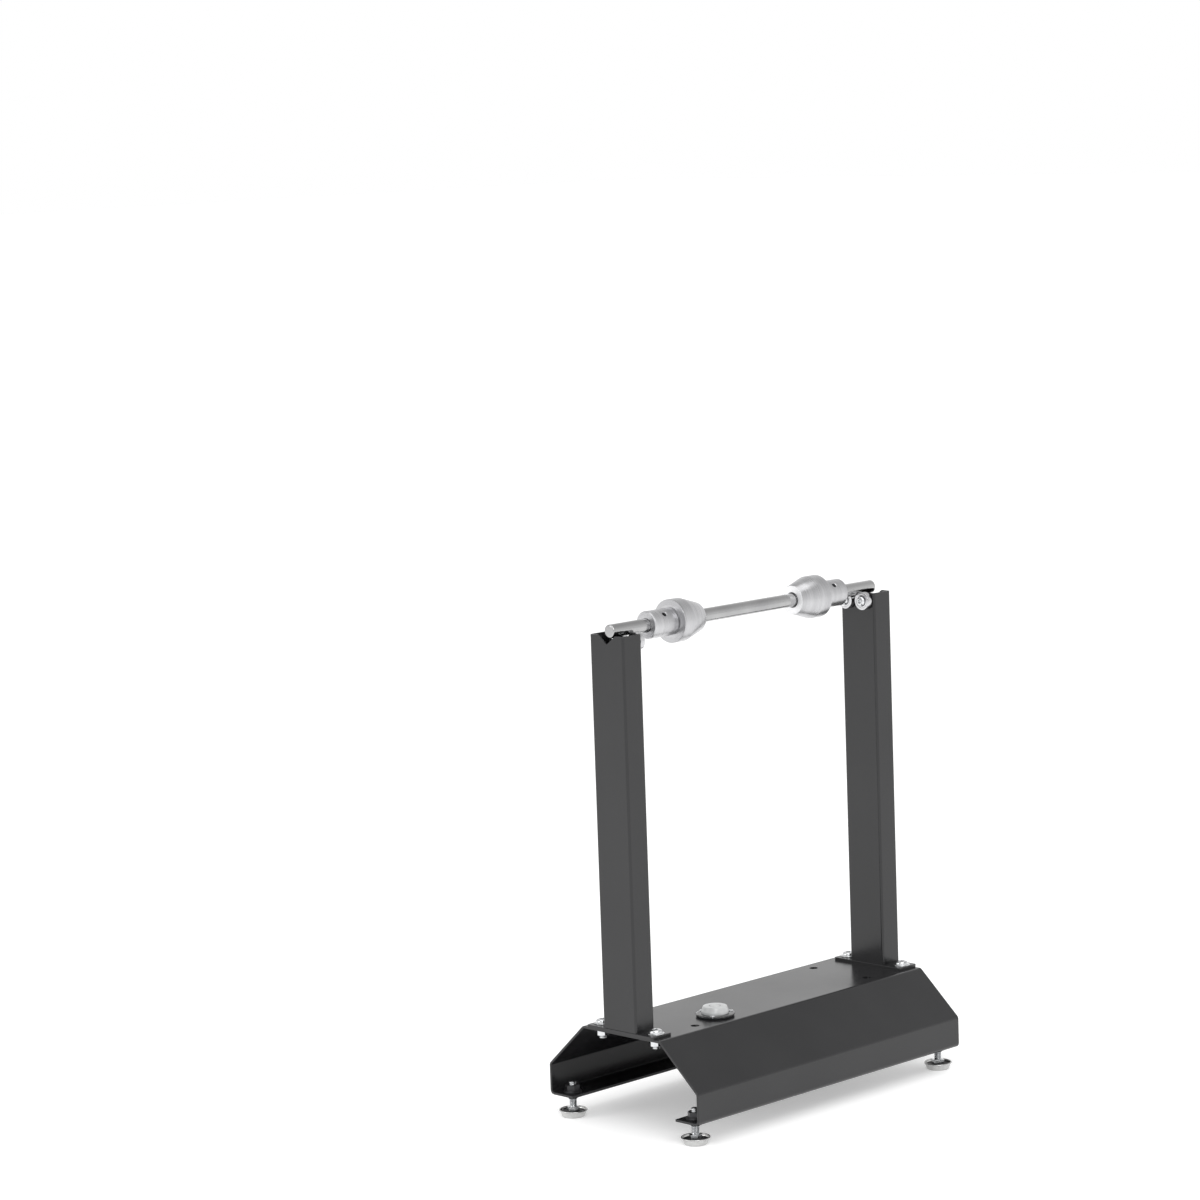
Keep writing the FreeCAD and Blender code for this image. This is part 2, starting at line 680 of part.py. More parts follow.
def make_foot_nuts():
    """A flange nut on each lip and a lock nut under it."""
    bore = "stem_radius + nut_clearance"
    top_nuts = []
    lock_nuts = []
    for side, along in SIDES:
        for depth, across in DEPTHS:
            x = times(along, "foot_reach")
            y = times(across, "foot_offset")
            seat = "wall_bottom + sheet"
            body = fuse([cylinder("flange_nut_radius", "flange_nut_flange", x, y, seat),
                         chamfered_hexagon("flange_nut_flats", "flange_nut_height",
                                           x, y, seat)])
            top_nuts.append(cut(body, cylinder(bore, "flange_nut_height", x, y, seat)))
            lock_nuts.append(lock_nut(x, y, bore))
    group(top_nuts, "foot_flange_nuts")
    group(lock_nuts, "foot_lock_nuts")


# Spirit level.

def level_screw_turns():
    return [LEVEL_SCREW_TURN + number * 360 / LEVEL_SCREWS for number in range(LEVEL_SCREWS)]


def level_screw_rule(middle, function, turn):
    return "%s + level_screw_circle * %s(%.4f)" % (middle, function, turn)


def level_screw_holes(z, height):
    return fuse([cylinder("level_screw_radius", height, level_screw_rule("level_x", "cos", turn),
                          level_screw_rule("level_y", "sin", turn), z)
                 for turn in level_screw_turns()])


def make_level():
    """Bull's-eye level: black pad, screwed flange with the vial in it, and the liquid."""
    pad_ring = cut(cylinder("level_pad_radius", "level_pad", "level_x", "level_y", "base_top"),
                   level_screw_holes("base_top", "level_pad"))
    node(pad_ring, "level_pad")

    seat = "base_top + level_pad"
    disc = cut(cylinder("level_radius", "level_flange", "level_x", "level_y", seat),
               cylinder("vial_radius", "level_flange", "level_x", "level_y", seat))
    node(cut(disc, level_screw_holes(seat, "level_flange")), "level_flange")

    def turned(name, corners):
        """A body turned about the level's axis; corners are (height, radius)."""
        body = document.addObject("PartDesign::Body", name)
        section = new_sketch(body, "Section", "XZ_Plane")
        add_outline(section, corners)
        add_revolution(body, section)
        place(body, "level_x", "level_y", seat, UPWARD)
        return body

    inside = [("vial_wall", "0"),
              ("vial_wall", "vial_radius - vial_wall"),
              ("vial_shoulder_rise", "vial_shoulder - vial_wall"),
              ("vial_rise - vial_wall", "vial_crown - vial_wall"),
              ("vial_rise - vial_wall", "0")]
    outside = [("0", "0"),
               ("0", "vial_radius"),
               ("vial_shoulder_rise", "vial_shoulder"),
               ("vial_rise", "vial_crown"),
               ("vial_rise", "0")]
    node(turned("Vial", outside + inside[::-1]), "level_vial")
    bubble = document.addObject("Part::Sphere", "Bubble")
    bind(bubble, Radius="bubble_radius")
    place(bubble, "level_x", "level_y",
          seat + " + vial_rise - vial_wall - bubble_depth + bubble_radius")
    node(cut(turned("LiquidBlank", inside), bubble), "level_liquid")

    screws = []
    for turn in level_screw_turns():
        x = level_screw_rule("level_x", "cos", turn)
        y = level_screw_rule("level_y", "sin", turn)
        top = seat + " + level_flange"
        low = "base_top - sheet - level_screw_tail"
        shank = cylinder("level_screw_radius", top + " - (" + low + ")", x, y, low)
        head = cylinder("level_screw_head", "level_screw_head_height", x, y, top)
        screws.append(fuse([shank, head]))
    group(screws, "level_screws")


make_base()
for side, sign in SIDES:
    make_upright(side, sign)
    make_bearings(side, sign)
    make_cone(side, sign)
    make_collar(side, sign)
    for depth, across in DEPTHS:
        make_foot(side + "_" + depth + "_foot", times(sign, "foot_reach"),
                  times(across, "foot_offset"))
make_shaft()
make_foot_nuts()
make_level()
document.recompute()

for item in document.Objects:
    if "Invalid" in item.State or "Error" in item.State:
        raise ValueError(item.Name + " failed: " + str(item.State))
os.makedirs("parts", exist_ok=True)
for item in NODES:
    if item.Shape.isNull() or not item.Shape.isValid() or not item.Shape.Solids:
        raise ValueError(item.Label + " has no valid solid")
    item.Shape.exportStep("parts/" + item.Label + ".step")
    print("%-36s %2d solids %12.1f mm3" % (item.Label, len(item.Shape.Solids), item.Shape.Volume))
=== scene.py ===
import json
import math

import bmesh
import bpy
from mathutils import Matrix, Vector


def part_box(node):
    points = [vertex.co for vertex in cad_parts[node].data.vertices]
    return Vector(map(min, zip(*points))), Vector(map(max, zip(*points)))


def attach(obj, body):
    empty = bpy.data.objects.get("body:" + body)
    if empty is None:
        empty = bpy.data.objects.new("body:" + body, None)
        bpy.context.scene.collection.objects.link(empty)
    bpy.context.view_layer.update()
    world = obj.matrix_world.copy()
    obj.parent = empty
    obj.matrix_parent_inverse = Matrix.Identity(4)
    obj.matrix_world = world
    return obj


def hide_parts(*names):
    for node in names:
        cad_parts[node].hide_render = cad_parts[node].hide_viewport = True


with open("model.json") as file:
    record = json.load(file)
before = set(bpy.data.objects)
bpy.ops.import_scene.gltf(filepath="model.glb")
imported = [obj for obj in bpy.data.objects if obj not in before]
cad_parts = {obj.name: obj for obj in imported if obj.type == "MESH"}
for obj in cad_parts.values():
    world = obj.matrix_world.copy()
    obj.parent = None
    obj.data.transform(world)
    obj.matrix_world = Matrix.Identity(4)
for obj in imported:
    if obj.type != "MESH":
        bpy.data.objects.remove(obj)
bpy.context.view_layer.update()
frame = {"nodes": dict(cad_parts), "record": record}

# A motorcycle wheel balancing stand, in metres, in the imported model's own frame.
# The base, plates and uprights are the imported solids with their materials; what is turned,
# threaded, pressed or hexagonal is rebuilt here in finer detail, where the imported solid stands.

MM = 0.001
BODY_OF = {node: body for body, nodes in frame["record"]["behaviour"]["bodies"].items()
           for node in nodes}
SLOT_OF = {item["node"]: item["material_slot"] for item in frame["record"]["subparts"]}
SIDES = ("left", "right")
DEPTHS = ("front", "rear")
CORNERS = [(side, depth) for side in SIDES for depth in DEPTHS]
SMOOTH_UNDER = math.radians(32)
UPRIGHT_BOLT_OFFSET = 37.5 * MM
M8_FLATS = 13 * MM
M8_PITCH = 1.25 * MM
UPRIGHT_BOLT_RADIUS = 3.95 * MM
STEM_BORE = 4.05 * MM
PIVOT_RADIUS = 2.95 * MM
SHAFT_BORE = 7.05 * MM
BORE_LEAD = 0.45 * MM
NUT_SEGMENTS = 72
RING_SEGMENTS = 96
FLANGE_SEGMENTS = 128
FINE_SEGMENTS = 160


def centre(node):
    low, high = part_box(node)
    return (low + high) / 2


def size(node):
    low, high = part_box(node)
    return high - low


# ---------------------------------------------------------------- materials

def start_material(name, color, roughness, metallic=0.0):
    """A material with a Principled shader; returns it with its node tree and shader."""
    material = bpy.data.materials.new(name)
    material.use_nodes = True
    tree = material.node_tree
    tree.nodes.clear()
    output = tree.nodes.new("ShaderNodeOutputMaterial")
    shader = tree.nodes.new("ShaderNodeBsdfPrincipled")
    shader.inputs["Base Color"].default_value = (*color, 1.0)
    shader.inputs["Roughness"].default_value = roughness
    shader.inputs["Metallic"].default_value = metallic
    tree.links.new(shader.outputs["BSDF"], output.inputs["Surface"])
    return material, tree, shader


def add_noise(tree, scale, detail=3.0):
    """Noise in the object's own metres."""
    place = tree.nodes.new("ShaderNodeTexCoord")
    noise = tree.nodes.new("ShaderNodeTexNoise")
    noise.inputs["Scale"].default_value = scale
    noise.inputs["Detail"].default_value = detail
    tree.links.new(place.outputs["Object"], noise.inputs["Vector"])
    return noise.outputs["Fac"]


def add_lathe_marks(tree, scale, detail=2.0):
    """Noise that changes only along the shaft and with the distance from its axis."""
    place = tree.nodes.new("ShaderNodeTexCoord")
    mapping = tree.nodes.new("ShaderNodeMapping")
    mapping.inputs["Location"].default_value = (0.0, 0.0, -centre("shaft").z)
    split = tree.nodes.new("ShaderNodeSeparateXYZ")
    across = tree.nodes.new("ShaderNodeCombineXYZ")
    length = tree.nodes.new("ShaderNodeVectorMath")
    length.operation = "LENGTH"
    joined = tree.nodes.new("ShaderNodeCombineXYZ")
    noise = tree.nodes.new("ShaderNodeTexNoise")
    noise.inputs["Scale"].default_value = scale
    noise.inputs["Detail"].default_value = detail
    tree.links.new(place.outputs["Object"], mapping.inputs["Vector"])
    tree.links.new(mapping.outputs["Vector"], split.inputs["Vector"])
    tree.links.new(split.outputs["Y"], across.inputs["Y"])
    tree.links.new(split.outputs["Z"], across.inputs["Z"])
    tree.links.new(across.outputs["Vector"], length.inputs[0])
    tree.links.new(split.outputs["X"], joined.inputs["X"])
    tree.links.new(length.outputs["Value"], joined.inputs["Y"])
    tree.links.new(joined.outputs["Vector"], noise.inputs["Vector"])
    return noise.outputs["Fac"]


def vary_color(tree, shader, factor, dark, light):
    """Colour the surface between dark and light by the factor."""
    ramp = tree.nodes.new("ShaderNodeValToRGB")
    ramp.color_ramp.elements[0].position = 0.3
    ramp.color_ramp.elements[0].color = (*dark, 1.0)
    ramp.color_ramp.elements[1].position = 0.7
    ramp.color_ramp.elements[1].color = (*light, 1.0)
    tree.links.new(factor, ramp.inputs["Fac"])
    tree.links.new(ramp.outputs["Color"], shader.inputs["Base Color"])


def vary_roughness(tree, shader, factor, low, high):
    """Spread the roughness between low and high by the factor."""
    span = tree.nodes.new("ShaderNodeMapRange")
    span.inputs["From Min"].default_value = 0.3
    span.inputs["From Max"].default_value = 0.7
    span.inputs["To Min"].default_value = low
    span.inputs["To Max"].default_value = high
    tree.links.new(factor, span.inputs["Value"])
    tree.links.new(span.outputs["Result"], shader.inputs["Roughness"])


def add_bump(tree, shader, heights, strength, depth):
    """Bump of the given depth in metres from one or more height outputs, stacked."""
    normal = None
    for height in heights:
        bump = tree.nodes.new("ShaderNodeBump")
        bump.inputs["Strength"].default_value = strength
        bump.inputs["Distance"].default_value = depth
        tree.links.new(height, bump.inputs["Height"])
        if normal is not None:
            tree.links.new(normal, bump.inputs["Normal"])
        normal = bump.outputs["Normal"]
    tree.links.new(normal, shader.inputs["Normal"])


def powder_coat():
    """Satin black powder coat: a fine orange-peel skin over flat steel."""
    material, tree, shader = start_material("black_powder_coat", (0.011, 0.011, 0.012), 0.24)
    cloud = add_noise(tree, 9.0, 4.0)
    peel = add_noise(tree, 620.0, 2.0)
    grain = add_noise(tree, 2600.0, 1.0)
    vary_color(tree, shader, cloud, (0.009, 0.009, 0.010), (0.014, 0.014, 0.015))
    vary_roughness(tree, shader, cloud, 0.2, 0.27)
    add_bump(tree, shader, (peel, grain), 0.1, 0.00004)
    return material


def turn_highlights(tree, shader, amount):
    """Stretch highlights round the X axis, as fine lathe marks do."""
    shader.inputs["Anisotropic"].default_value = amount
    tangent = tree.nodes.new("ShaderNodeTangent")
    tangent.direction_type = "RADIAL"
    tangent.axis = "X"
    tree.links.new(tangent.outputs["Tangent"], shader.inputs["Tangent"])


def ground_steel():
    """Ground round bar: fine rings about the X axis and a little tone along its length."""
    material, tree, shader = start_material("ground_steel", (0.42, 0.42, 0.42), 0.18, 1.0)
    rings = add_lathe_marks(tree, 2600.0)
    cloud = add_noise(tree, 26.0, 3.0)
    vary_color(tree, shader, cloud, (0.38, 0.38, 0.385), (0.46, 0.46, 0.46))
    vary_roughness(tree, shader, rings, 0.13, 0.22)
    add_bump(tree, shader, (rings,), 0.12, 0.00002)
    turn_highlights(tree, shader, 0.4)
    return material


def turned_aluminium(name, dark, light, low, high):
    """Turned aluminium: concentric tool marks that repeat along the X axis."""
    material, tree, shader = start_material(name, light, high, 1.0)
    marks = add_lathe_marks(tree, 1900.0)
    cloud = add_lathe_marks(tree, 160.0)
    vary_color(tree, shader, cloud, dark, light)
    vary_roughness(tree, shader, marks, low, high)
    add_bump(tree, shader, (marks,), 0.22, 0.00003)
    turn_highlights(tree, shader, 0.5)
    return material


def plated_steel(name, dark, light, low, high):
    """Bright plated steel with slightly uneven gloss."""
    material, tree, shader = start_material(name, light, high, 1.0)
    cloud = add_noise(tree, 240.0, 4.0)
    grain = add_noise(tree, 2200.0, 2.0)
    vary_color(tree, shader, cloud, dark, light)
    vary_roughness(tree, shader, cloud, low, high)
    add_bump(tree, shader, (grain,), 0.15, 0.00003)
    return material


def dull_black(name, color, roughness, grain_scale, metallic=0.0):
    """Matt or semi-matt black with a fine grain."""
    material, tree, shader = start_material(name, color, roughness, metallic)
    cloud = add_noise(tree, 150.0, 4.0)
    grain = add_noise(tree, grain_scale, 2.0)
    lighter = tuple(channel * 1.7 for channel in color)
    vary_color(tree, shader, cloud, color, lighter)
    vary_roughness(tree, shader, cloud, roughness - 0.06, roughness + 0.08)
    add_bump(tree, shader, (grain,), 0.3, 0.00005)
    return material


def acrylic(name, dark, light, transmission):
    """Moulded acrylic with a slightly wavy surface, from clear to milky."""
    material, tree, shader = start_material(name, light, 0.16)
    shader.inputs["Transmission Weight"].default_value = transmission
    shader.inputs["IOR"].default_value = 1.49
    cloud = add_noise(tree, 180.0, 3.0)
    vary_color(tree, shader, cloud, dark, light)
    vary_roughness(tree, shader, cloud, 0.1, 0.2)
    add_bump(tree, shader, (cloud,), 0.05, 0.0001)
    return material


def level_liquid():
    """Pale clear liquid that fills the vial round its bubble."""
    material, tree, shader = start_material("level_liquid", (0.86, 0.9, 0.86), 0.03)
    shader.inputs["Transmission Weight"].default_value = 0.85
    shader.inputs["IOR"].default_value = 1.36
    cloud = add_noise(tree, 120.0, 2.0)
    vary_color(tree, shader, cloud, (0.82, 0.88, 0.82), (0.88, 0.92, 0.88))
    return material


MATERIALS = {
    "black_powder_coat": powder_coat(),
    "ground_steel": ground_steel(),
    "turned_aluminium": turned_aluminium("turned_aluminium", (0.46, 0.46, 0.47),
                                         (0.56, 0.56, 0.57), 0.24, 0.36),
    "zinc_plated_steel": plated_steel("zinc_plated_steel", (0.58, 0.59, 0.6),
                                      (0.72, 0.73, 0.74), 0.14, 0.26),
    "bearing_steel": plated_steel("bearing_steel", (0.52, 0.52, 0.53),
                                  (0.64, 0.64, 0.65), 0.12, 0.22),
    "black_oxide": dull_black("black_oxide", (0.03, 0.03, 0.032), 0.36, 1800.0, 0.6),
    "nickel_plate": plated_steel("nickel_plate", (0.48, 0.48, 0.475),
                                 (0.6, 0.6, 0.595), 0.12, 0.22),
    "black_plastic": dull_black("black_plastic", (0.012, 0.012, 0.013), 0.55, 1400.0),
    "black_rubber": dull_black("black_rubber", (0.01, 0.01, 0.011), 0.7, 900.0),
    "milky_plastic": acrylic("milky_plastic", (0.6, 0.61, 0.61), (0.68, 0.69, 0.69), 0.25),
    "clear_plastic": acrylic("clear_plastic", (0.8, 0.82, 0.82), (0.86, 0.88, 0.88), 0.95),
    "level_liquid": level_liquid(),
}
# A lighter copy of the turned aluminium for the cones' small end faces: a painted highlight where
# those faces meet the light.
CONE_FACE_HIGHLIGHT_ALUMINIUM = turned_aluminium("painted_highlight_aluminium", (0.78, 0.78, 0.79),
                                   (0.88, 0.88, 0.89), 0.42, 0.52)


# ---------------------------------------------------------------- mesh tools

def hexagon_reach(flats, angle):
    """Distance from the axis to a hexagon's side; the corners are at 0, 60, ... degrees."""
    turn = angle % (math.pi / 3)
    return flats / 2 / math.cos(turn - math.pi / 6)


def steady(radius, height):
    """A round, level ring."""
    return lambda angle: (radius, height)


def turned(*points):
    """Level rings from (radius in millimetres, height in metres) pairs."""
    return [steady(radius * MM, height) for radius, height in points]


def cross_recess(radius, top, depth, half_width):
    """A ring that drops where it passes over the arms of a cross recess."""
    def ring(angle):
        aside = radius * min(abs(math.cos(angle)), abs(math.sin(angle)))
        return radius, top - (depth if aside < half_width and radius < 1.45 * MM else 0.0)
    return ring


def inward(side):
    """Sign of the X direction from that side towards the middle of the stand."""
    return 1 if side == "left" else -1


def drill(piece, cutter_mesh):
    """Cut the closed cutter out of the piece and keep the result as its mesh."""
    bmesh.ops.recalc_face_normals(cutter_mesh, faces=cutter_mesh.faces)
    data = bpy.data.meshes.new("cutter")
    cutter_mesh.to_mesh(data)
    cutter_mesh.free()
    cutter = bpy.data.objects.new("cutter", data)
    bpy.context.scene.collection.objects.link(cutter)
    hole = piece.modifiers.new("hole", "BOOLEAN")
    hole.object = cutter
    hole.solver = "EXACT"
    shaped = piece.evaluated_get(bpy.context.evaluated_depsgraph_get())
    drilled = bpy.data.meshes.new_from_object(shaped)
    piece.modifiers.clear()
    piece.data = drilled
    drilled.set_sharp_from_angle(angle=SMOOTH_UNDER)
    bpy.data.objects.remove(cutter)
    bpy.data.meshes.remove(data)


def add_loft(mesh, rings, frame_of, segments, closed=False):
    """Quads between rings. A ring gives (radius, height) for an angle about the local Z axis;
    frame_of places that axis. Closed joins the last ring to the first; otherwise the ends are
    capped with fans."""
    loops = []
    for ring in rings:
        loop = []
        for number in range(segments):
            angle = number * 2 * math.pi / segments
            radius, height = ring(angle)
            point = Vector((radius * math.cos(angle), radius * math.sin(angle), height))
            loop.append(mesh.verts.new(frame_of @ point))
        loops.append(loop)
    pairs = list(zip(loops, loops[1:]))
    if closed:
        pairs.append((loops[-1], loops[0]))
    faces = []
    for below, above in pairs:
        for number in range(segments):
            after = (number + 1) % segments
            faces.append(mesh.faces.new((below[number], below[after], above[after],
                                         above[number])))
    if not closed:
        for loop in (loops[0], loops[-1]):
            middle = mesh.verts.new(sum((vert.co for vert in loop), Vector()) / segments)
            for number in range(segments):
                faces.append(mesh.faces.new((loop[number], loop[(number + 1) % segments],
                                             middle)))
    return faces


def arc(centre_along, centre_out, radius, start, end, steps):
    """Rings along an arc of the section; angles in degrees, 0 outward and 90 along the axis."""
    rings = []
    for step in range(steps + 1):
        angle = math.radians(start + (end - start) * step / steps)
        rings.append(steady(centre_out + radius * math.cos(angle),
                            centre_along + radius * math.sin(angle)))
    return rings


def thread(major, depth, pitch, low, high, steps_per_turn=6):
    """Rings of a right-hand thread between two heights, running out at both ends."""
    rings = []
    count = max(2, int((high - low) / pitch * steps_per_turn))
    for step in range(count + 1):
        height = low + (high - low) * step / count
        fade = min(1.0, (height - low) / pitch, (high - height) / pitch)

        def ring(angle, height=height, fade=fade):
            phase = (height / pitch - angle / (2 * math.pi)) % 1.0
            groove = 1 - abs(2 * phase - 1)
            return major - depth * groove * max(fade, 0.35), height
        rings.append(ring)
    return rings


def chamfered_hexagon(flats, low, high, low_chamfer=False):
    """Rings up the outside of a hexagon. A 30 degree cone turns its corners off at the upper
    end, and at the lower one where asked."""
    circle = flats / 2 * 0.965
    slope = math.tan(math.radians(30))

    def side(height, drop_sign):
        def ring(angle):
            reach = hexagon_reach(flats, angle)
            return reach, height + drop_sign * max(0.0, reach - circle) * slope
        return ring
    if low_chamfer:
        rings = [steady(circle, low), side(low, 1)]
    else:
        rings = [lambda angle: (hexagon_reach(flats, angle), low)]
    return rings + [side(high, -1), steady(circle, high)]


def hexagon_socket(flats, mouth, floor):
    """Rings down a hexagon socket and to a point at its floor."""
    return [steady(flats / 2 * 1.17, mouth),
            lambda angle: (hexagon_reach(flats, angle), mouth - 0.2 * MM),
            lambda angle: (hexagon_reach(flats, angle), floor),
            steady(0.1 * MM, floor)]


def along_z(x, y, z=0.0):
    """Local Z points up from that place."""
    return Matrix.Translation((x, y, z))


def along_x(x, y, z, toward=1):
    """Local Z points along +X, or along -X where toward is -1."""
    return Matrix.Translation((x, y, z)) @ Matrix.Rotation(toward * math.pi / 2, 4, "Y")


def finish_piece(name, mesh, node, materials=None, sharp=SMOOTH_UNDER):
    """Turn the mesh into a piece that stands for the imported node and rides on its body."""
    bmesh.ops.recalc_face_normals(mesh, faces=mesh.faces)
    data = bpy.data.meshes.new(name)
    mesh.to_mesh(data)
    mesh.free()
    for polygon in data.polygons:
        polygon.use_smooth = True
    data.set_sharp_from_angle(angle=sharp)
    for material in materials or [MATERIALS[SLOT_OF[node]]]:
        data.materials.append(material)
    piece = bpy.data.objects.new(name, data)
    bpy.context.scene.collection.objects.link(piece)
    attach(piece, BODY_OF[node])
    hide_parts(node)
    return piece


# ---------------------------------------------------------------- fasteners

def corner_node(side, depth, what):
    return side + "_" + depth + "_" + what


def pair_places(node):
    """(x, y) of two equal upright fasteners that share a node, front and rear."""
    low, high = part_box(node)
    x = (low.x + high.x) / 2
    offset = UPRIGHT_BOLT_OFFSET
    return [(x, -offset), (x, offset)]


def dome_bolt_rings(low, nut_top, seat, high):
    """Up an M8 bolt: thread, shank, round flange, domed head and hexagon socket."""
    shank = UPRIGHT_BOLT_RADIUS
    flange = 8.9 * MM
    dome = 6.9 * MM
    crown = 4.5 * MM
    dome_foot = seat + 1.45 * MM
    edge = 0.5 * MM
    rings = turned((2.9, low), (3.3, low + 0.1 * MM))
    rings += thread(shank, 0.6 * MM, M8_PITCH, low + 0.2 * MM, nut_top)
    rings += [steady(shank, seat)]
    rings += arc(seat + edge, flange - edge, edge, -90, 70, 5)
    rings += [steady(dome + 0.5 * MM, seat + 1.25 * MM)]
    for step in range(8):
        turn = math.radians(step * 90 / 7)
        rings.append(steady(crown + (dome - crown) * math.cos(turn),
                            dome_foot + (high - dome_foot) * math.sin(turn)))
    return rings + hexagon_socket(5 * MM, high, high - 2.4 * MM)


def make_upright_bolts(side):
    """Two M8 bolts that hold one upright down on the base."""
    node = side + "_upright_bolts"
    low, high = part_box(node)
    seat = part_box(side + "_foot_plate")[1].z
    nut_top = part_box(side + "_upright_nuts")[1].z
    mesh = bmesh.new()
    for x, y in pair_places(node):
        add_loft(mesh, dome_bolt_rings(low.z, nut_top, seat, high.z), along_z(x, y),
                 NUT_SEGMENTS)
    return finish_piece(node + "_detail", mesh, node)


def nut_rings(flats, low, high, bore):
    """A closed section: a hexagon chamfered at both ends, and a bore with lead-ins."""
    lead = BORE_LEAD
    rings = [steady(bore, low + lead), steady(bore + lead, low)]
    rings += chamfered_hexagon(flats, low, high, True)
    return rings + [steady(bore + lead, high), steady(bore, high - lead)]


def flange_nut_rings(flats, flange, low, high, bore):
    """A closed section: round flange below, chamfered hexagon above, bore with lead-ins."""
    lead = BORE_LEAD
    foot = low + 0.9 * MM
    rings = [steady(bore, low + lead), steady(bore + lead, low),
             steady(flange - 0.3 * MM, low), steady(flange, low + 0.3 * MM),
             steady(flange, foot), steady(flats / 2 * 1.17, foot + 1.5 * MM)]
    rings += chamfered_hexagon(flats, foot + 1.55 * MM, high)
    return rings + [steady(bore + lead, high), steady(bore, high - lead)]


def lock_nut_rings(low, high, bore):
    """A closed section: flange above, and a hexagon that tapers down towards the stem."""
    lead = BORE_LEAD
    tip = 5.2 * MM
    flange = 7.9 * MM
    flange_height = 1.2 * MM
    rings = [steady(bore, low + lead), steady(bore + lead, low), steady(tip, low)]
    for step in range(1, 8):
        share = step / 10

        def ring(angle, share=share):
            taper = tip + (flange - tip) * share
            return min(hexagon_reach(M8_FLATS, angle), taper), low + (high - low) * share
        rings.append(ring)
    edge = 0.3 * MM
    rings += arc(high - flange_height + edge, flange - edge, edge, -80, 0, 3)
    rings += arc(high - edge, flange - edge, edge, 0, 80, 3)
    return rings + [steady(bore + lead, high), steady(bore, high - lead)]


def make_upright_nuts(side):
    """Two M8 nuts under the base's top."""
    node = side + "_upright_nuts"
    low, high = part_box(node)
    rings = nut_rings(M8_FLATS, low.z, high.z, UPRIGHT_BOLT_RADIUS)
    mesh = bmesh.new()
    for x, y in pair_places(node):
        add_loft(mesh, rings, along_z(x, y), NUT_SEGMENTS, True)
    return finish_piece(node + "_detail", mesh, node)


def make_foot_nuts(node, rings):
    """The same nut on each of the four stems."""
    mesh = bmesh.new()
    for side, depth in CORNERS:
        middle = centre(corner_node(side, depth, "foot_stem"))
        add_loft(mesh, rings, along_z(middle.x, middle.y), NUT_SEGMENTS, True)
    return finish_piece(node + "_detail", mesh, node)


def make_flange_nuts():
    """Black nuts that stand on the lips."""
    low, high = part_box("foot_flange_nuts")
    rings = flange_nut_rings(M8_FLATS, 9.4 * MM, low.z, high.z, STEM_BORE)
    return make_foot_nuts("foot_flange_nuts", rings)


def make_lock_nuts():
    """Bright nuts that press on the lips from below."""
    low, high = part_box("foot_lock_nuts")
    return make_foot_nuts("foot_lock_nuts", lock_nut_rings(low.z, high.z, STEM_BORE))


# ---------------------------------------------------------------- levelling feet

def make_foot_stem(side, depth):
    """Threaded M8 stem with a hexagon just above the cup."""
    node = corner_node(side, depth, "foot_stem")
    low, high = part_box(node)
    middle = centre(node)
    grip_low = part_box(corner_node(side, depth, "foot_filling"))[1].z
    grip_high = grip_low + 4.8 * MM
    grip_flats = 11.6 * MM
    radius = 4.0 * MM
    neck = radius - 0.4 * MM
    rings = [steady(neck, low.z), steady(neck, grip_low)]
    rings += chamfered_hexagon(grip_flats, grip_low + 0.05 * MM, grip_high)
    rings += [steady(neck, grip_high + 0.1 * MM)]
    rings += thread(radius, 0.65 * MM, M8_PITCH, grip_high + 0.3 * MM, high.z - 0.7 * MM)
    rings += [steady(radius - 0.5 * MM, high.z - 0.5 * MM), steady(radius - 1.0 * MM, high.z),
              steady(0.3 * MM, high.z)]
    mesh = bmesh.new()
    add_loft(mesh, rings, along_z(middle.x, middle.y), NUT_SEGMENTS)
    return finish_piece(node + "_detail", mesh, node)


def make_foot_cup(side, depth):
    """Pressed cup with a round lower edge, a straight flaring side and a rolled rim."""
    node = corner_node(side, depth, "foot_cup")
    low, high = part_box(node)
    middle = centre(node)
    rim = size(node).x / 2
    foot = 11.8 * MM
    wall = 1.2 * MM
    roll = 0.75 * MM
    lower = 1.0 * MM
    height = high.z - low.z
    inner_foot = foot - 1.9 * MM
    rings = [steady(1.0 * MM, 0.0)]
    rings += arc(lower, foot + 0.1 * MM - lower, lower, -90, -20, 5)
    rings += turned((13.0, height * 0.5), (13.9, height - 2.4 * roll), (14.3, height - 2.0 * roll))
    rings += arc(height - roll, rim - roll, roll, -30, 190, 9)
    rings += [steady(12.9 * MM, height * 0.62), steady(inner_foot, wall + 0.8 * MM),
              steady(inner_foot - 1.0 * MM, wall), steady(1.0 * MM, wall)]
    mesh = bmesh.new()
    add_loft(mesh, rings, along_z(middle.x, middle.y, low.z), RING_SEGMENTS, True)
    return finish_piece(node + "_detail", mesh, node)


def make_foot_filling(side, depth):
    """Black plastic that fills the cup, dished a little towards the stem."""
    node = corner_node(side, depth, "foot_filling")
    low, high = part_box(node)
    middle = centre(node)
    rim = size(node).x / 2
    bore = 3.65 * MM
    rings = [steady(bore, low.z), steady(rim - 2.6 * MM, low.z),
             steady(rim - 0.5 * MM, high.z - 0.6 * MM), steady(rim - 0.6 * MM, high.z - 0.1 * MM),
             steady(rim - 1.2 * MM, high.z), steady(rim - 2.4 * MM, high.z - 0.25 * MM),
             steady(7.0 * MM, high.z - 0.35 * MM), steady(6.4 * MM, high.z - 0.02 * MM),
             steady(bore, high.z - 0.02 * MM)]
    mesh = bmesh.new()
    add_loft(mesh, rings, along_z(middle.x, middle.y), RING_SEGMENTS, True)
    return finish_piece(node + "_detail", mesh, node)


# ---------------------------------------------------------------- bearings

def bearing_axis(side, depth, x=0.0):
    """The bearing's axis, with local Z pointing inward from the given X."""
    middle = centre(corner_node(side, depth, "bearing_outer_ring"))
    return along_x(x, middle.y, middle.z, inward(side))


def outer_end(node, side):
    """X of the node's end that faces away from the middle of the stand."""
    low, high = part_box(node)
    return low.x if inward(side) > 0 else high.x


